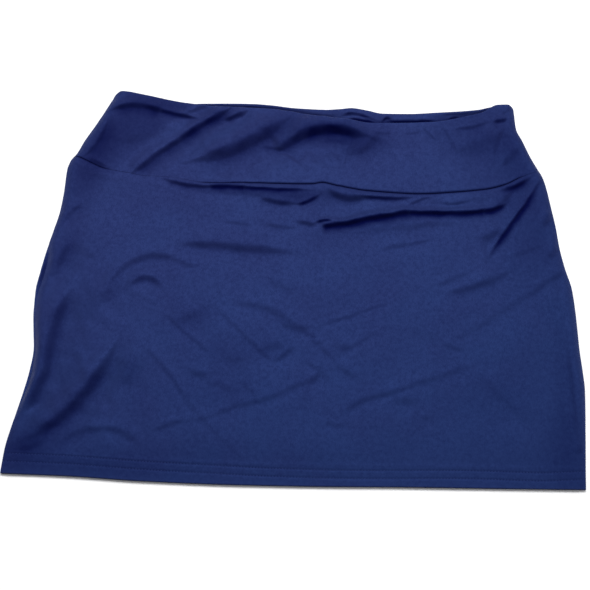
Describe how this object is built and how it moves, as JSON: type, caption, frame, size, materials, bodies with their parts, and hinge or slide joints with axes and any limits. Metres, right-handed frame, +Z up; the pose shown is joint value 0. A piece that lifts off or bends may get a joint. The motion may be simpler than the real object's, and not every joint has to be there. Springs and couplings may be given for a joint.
{
  "type": "mini skirt",
  "caption": "Pull-on mini skirt of smooth navy stretch knit with a wide folded yoke waistband and a coverstitched hem, laid flat with soft packing folds.",
  "frame": {"origin": "middle of the box round the skirt, on its underside, the plane that it lies on", "axes": "+X across the skirt to the right as the front is seen from above, +Y from hem to waist, +Z up, out of the front"},
  "size_m": [0.4626, 0.343, 0.0066],
  "materials": {
    "navy_knit_back": "smooth fine-gauge nylon and spandex knit, deep navy, low satin sheen",
    "navy_knit_yoke_back": "the same navy knit, folded double at the waist",
    "navy_knit_front": "smooth fine-gauge nylon and spandex knit, deep navy, low satin sheen, creased from packing",
    "navy_knit_yoke_front": "the same navy knit, folded double at the waist, with soft diagonal creases"
  },
  "bodies": {
    "root": {"skirt_back": "navy_knit_back", "yoke_back": "navy_knit_yoke_back", "skirt_front": "navy_knit_front", "yoke_front": "navy_knit_yoke_front"}
  },
  "joints": []
}
